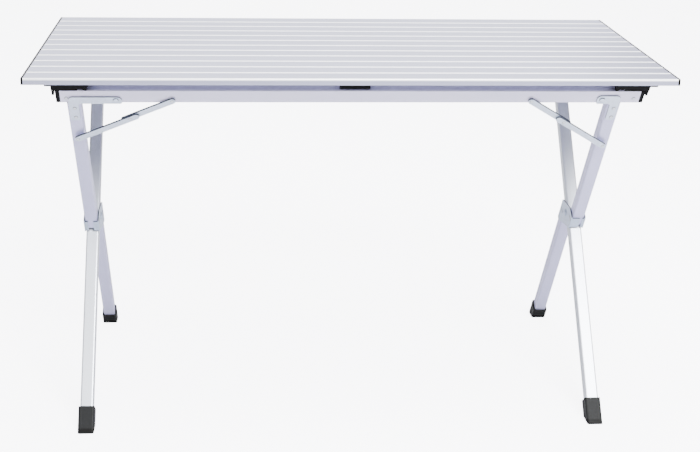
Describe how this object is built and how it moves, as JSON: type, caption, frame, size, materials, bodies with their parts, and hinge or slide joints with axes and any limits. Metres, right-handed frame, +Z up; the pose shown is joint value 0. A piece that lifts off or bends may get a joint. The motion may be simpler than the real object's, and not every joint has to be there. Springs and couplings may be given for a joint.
{
  "type": "folding camping side table",
  "caption": "Folding camping side table: a slatted roll-up aluminium top on two rails, with tubular legs that cross at each end, folding braces and plastic corner seats and feet.",
  "frame": {"origin": "on the floor, under the middle of the whole object", "axes": "+X along the rails and slats, +Y from the front rail to the rear rail, +Z up"},
  "size_m": [1.2, 0.6119, 0.7],
  "materials": {
    "slat_aluminium": "satin anodised",
    "frame_aluminium": "satin anodised",
    "zinc_steel": "bright zinc plated",
    "black_plastic": "moulded, satin",
    "foot_plastic": "moulded, satin"
  },
  "bodies": {
    "rear_frame": {"rear_rail": "frame_aluminium", "rear_centre_seat": "black_plastic", "rear_rail_plug_left": "black_plastic", "rear_bracket_left": "zinc_steel", "rear_bolt_left": "zinc_steel", "rear_brace_rail_left": "zinc_steel", "rear_brace_leg_left": "zinc_steel", "rear_corner_fitting_left": "black_plastic", "rear_rail_plug_right": "black_plastic", "rear_bracket_right": "zinc_steel", "rear_bolt_right": "zinc_steel", "rear_brace_rail_right": "zinc_steel", "rear_brace_leg_right": "zinc_steel", "rear_corner_fitting_right": "black_plastic", "rear_leg_left": "frame_aluminium", "front_foot_left": "foot_plastic", "rear_leg_right": "frame_aluminium", "front_foot_right": "foot_plastic"},
    "front_frame": {"front_rail": "frame_aluminium", "front_centre_seat": "black_plastic", "front_rail_plug_left": "black_plastic", "front_bracket_left": "zinc_steel", "front_bolt_left": "zinc_steel", "front_brace_rail_left": "zinc_steel", "front_brace_leg_left": "zinc_steel", "front_corner_fitting_left": "black_plastic", "front_rail_plug_right": "black_plastic", "front_bracket_right": "zinc_steel", "front_bolt_right": "zinc_steel", "front_brace_rail_right": "zinc_steel", "front_brace_leg_right": "zinc_steel", "front_corner_fitting_right": "black_plastic", "front_leg_upper_left": "frame_aluminium", "front_leg_lower_left": "frame_aluminium", "rear_foot_left": "foot_plastic", "front_crossing_plate_left_outer": "zinc_steel", "front_crossing_plate_left_inner": "zinc_steel", "crossing_pin_left": "zinc_steel", "front_leg_upper_right": "frame_aluminium", "front_leg_lower_right": "frame_aluminium", "rear_foot_right": "foot_plastic", "front_crossing_plate_right_outer": "zinc_steel", "front_crossing_plate_right_inner": "zinc_steel", "crossing_pin_right": "zinc_steel"},
    "top_base": {"slat_12": "slat_aluminium", "cross_bar_left": "frame_aluminium", "cross_bar_centre": "frame_aluminium", "cross_bar_right": "frame_aluminium"},
    "top_leaf_11": {"slat_11": "slat_aluminium"},
    "top_leaf_10": {"slat_10": "slat_aluminium"},
    "top_leaf_09": {"slat_09": "slat_aluminium"},
    "top_leaf_08": {"slat_08": "slat_aluminium"},
    "top_leaf_07": {"slat_07": "slat_aluminium"},
    "top_leaf_06": {"slat_06": "slat_aluminium"},
    "top_leaf_05": {"slat_05": "slat_aluminium"},
    "top_leaf_04": {"slat_04": "slat_aluminium"},
    "top_leaf_03": {"slat_03": "slat_aluminium"},
    "top_leaf_02": {"slat_02": "slat_aluminium"},
    "top_leaf_01": {"slat_01": "slat_aluminium"}
  },
  "joints": [
    {"name": "scissor", "type": "hinge", "parent": "rear_frame", "child": "front_frame", "pos_m": [0, 0.0001, 0.344], "axis": [-1, 0, 0], "range_deg": [0, 66]},
    {"name": "top_lift", "type": "slide", "parent": "rear_frame", "child": "top_base", "axis": [0, 0, 1], "range_m": [0, 0.6]},
    {"name": "roll_11", "type": "hinge", "parent": "top_base", "child": "top_leaf_11", "pos_m": [0, 0.2561, 0.7], "axis": [-1, 0, 0], "range_deg": [0, 28]},
    {"name": "roll_10", "type": "hinge", "parent": "top_leaf_11", "child": "top_leaf_10", "pos_m": [0, 0.2061, 0.7], "axis": [-1, 0, 0], "range_deg": [0, 28]},
    {"name": "roll_09", "type": "hinge", "parent": "top_leaf_10", "child": "top_leaf_09", "pos_m": [0, 0.1561, 0.7], "axis": [-1, 0, 0], "range_deg": [0, 28]},
    {"name": "roll_08", "type": "hinge", "parent": "top_leaf_09", "child": "top_leaf_08", "pos_m": [0, 0.1061, 0.7], "axis": [-1, 0, 0], "range_deg": [0, 28]},
    {"name": "roll_07", "type": "hinge", "parent": "top_leaf_08", "child": "top_leaf_07", "pos_m": [0, 0.0561, 0.7], "axis": [-1, 0, 0], "range_deg": [0, 28]},
    {"name": "roll_06", "type": "hinge", "parent": "top_leaf_07", "child": "top_leaf_06", "pos_m": [0, 0.0061, 0.7], "axis": [-1, 0, 0], "range_deg": [0, 28]},
    {"name": "roll_05", "type": "hinge", "parent": "top_leaf_06", "child": "top_leaf_05", "pos_m": [0, -0.0439, 0.7], "axis": [-1, 0, 0], "range_deg": [0, 28]},
    {"name": "roll_04", "type": "hinge", "parent": "top_leaf_05", "child": "top_leaf_04", "pos_m": [0, -0.0939, 0.7], "axis": [-1, 0, 0], "range_deg": [0, 28]},
    {"name": "roll_03", "type": "hinge", "parent": "top_leaf_04", "child": "top_leaf_03", "pos_m": [0, -0.1439, 0.7], "axis": [-1, 0, 0], "range_deg": [0, 28]},
    {"name": "roll_02", "type": "hinge", "parent": "top_leaf_03", "child": "top_leaf_02", "pos_m": [0, -0.1939, 0.7], "axis": [-1, 0, 0], "range_deg": [0, 28]},
    {"name": "roll_01", "type": "hinge", "parent": "top_leaf_02", "child": "top_leaf_01", "pos_m": [0, -0.2439, 0.7], "axis": [-1, 0, 0], "range_deg": [0, 28]}
  ],
  "couplings": [
    {"joint": "top_lift", "follows": "scissor", "m_per_rad": 0.5}
  ]
}
